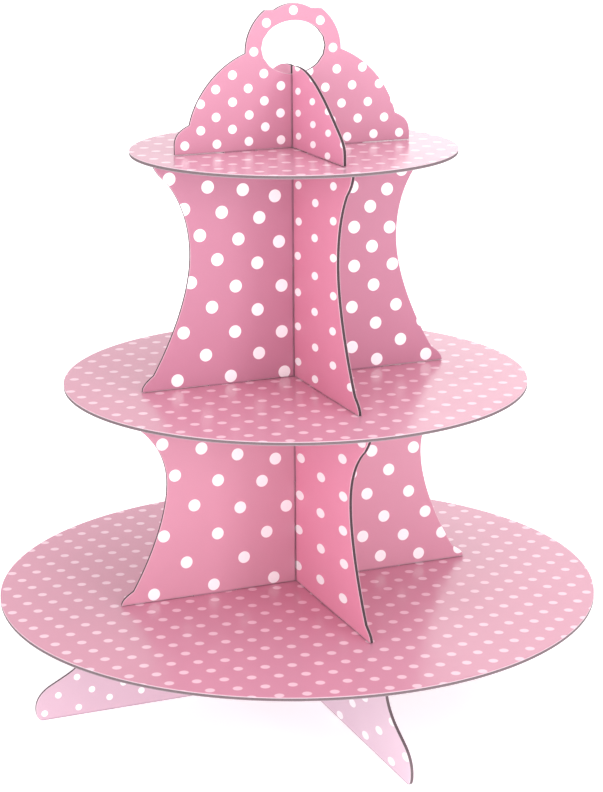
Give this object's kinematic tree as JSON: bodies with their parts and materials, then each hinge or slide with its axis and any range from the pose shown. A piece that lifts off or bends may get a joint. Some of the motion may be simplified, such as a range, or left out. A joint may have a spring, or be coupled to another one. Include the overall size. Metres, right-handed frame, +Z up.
{
  "type": "cake stand",
  "caption": "Tiered cupcake stand of printed board: round discs on crossed waisted panels, with sloping feet and a domed ring handle.",
  "frame": {"origin": "centre of the stand on the table that it stands on", "axes": "+Z up; the panel with the grip ring runs along X, the crossing panel along Y"},
  "size_m": [0.3, 0.3, 0.3442],
  "materials": {
    "disc_print": "gloss laminated print, pink with a fine pattern of small white dots, grey board core",
    "column_print": "satin laminated print, pink with large white dots, grey board core",
    "handle_print": "satin laminated print, pink with white dots, grey board core",
    "foot_print": "satin laminated print, pale pink with small white dots, grey board core"
  },
  "bodies": {
    "foot_panel_front_back": {"foot_panel_front_back": "foot_print"},
    "foot_panel_left_right": {"foot_panel_left_right": "foot_print"},
    "base_disc": {"base_disc": "disc_print"},
    "lower_column_front_back": {"lower_column_front_back": "column_print"},
    "lower_column_left_right": {"lower_column_left_right": "column_print"},
    "middle_disc": {"middle_disc": "disc_print"},
    "upper_column_front_back": {"upper_column_front_back": "column_print"},
    "upper_column_left_right": {"upper_column_left_right": "column_print"},
    "top_disc": {"top_disc": "disc_print"},
    "handle_brace": {"handle_brace": "handle_print"},
    "handle_grip": {"handle_grip": "handle_print"}
  },
  "joints": [
    {"name": "foot_panel_lift", "type": "slide", "parent": "foot_panel_front_back", "child": "foot_panel_left_right", "axis": [0, 0, 1], "range_m": [0, 0.06]},
    {"name": "base_disc_lift", "type": "slide", "parent": "foot_panel_left_right", "child": "base_disc", "axis": [0, 0, 1], "range_m": [0, 0.02]},
    {"name": "lower_column_lift", "type": "slide", "parent": "base_disc", "child": "lower_column_front_back", "axis": [0, 0, 1], "range_m": [0, 0.02]},
    {"name": "lower_column_half_lap_lift", "type": "slide", "parent": "lower_column_front_back", "child": "lower_column_left_right", "axis": [0, 0, 1], "range_m": [0, 0.125]},
    {"name": "middle_disc_lift", "type": "slide", "parent": "lower_column_left_right", "child": "middle_disc", "axis": [0, 0, 1], "range_m": [0, 0.02]},
    {"name": "upper_column_lift", "type": "slide", "parent": "middle_disc", "child": "upper_column_front_back", "axis": [0, 0, 1], "range_m": [0, 0.02]},
    {"name": "upper_column_half_lap_lift", "type": "slide", "parent": "upper_column_front_back", "child": "upper_column_left_right", "axis": [0, 0, 1], "range_m": [0, 0.13]},
    {"name": "top_disc_lift", "type": "slide", "parent": "upper_column_left_right", "child": "top_disc", "axis": [0, 0, 1], "range_m": [0, 0.02]},
    {"name": "handle_brace_lift", "type": "slide", "parent": "top_disc", "child": "handle_brace", "axis": [0, 0, 1], "range_m": [0, 0.02]},
    {"name": "handle_grip_lift", "type": "slide", "parent": "handle_brace", "child": "handle_grip", "axis": [0, 0, 1], "range_m": [0, 0.055]}
  ]
}
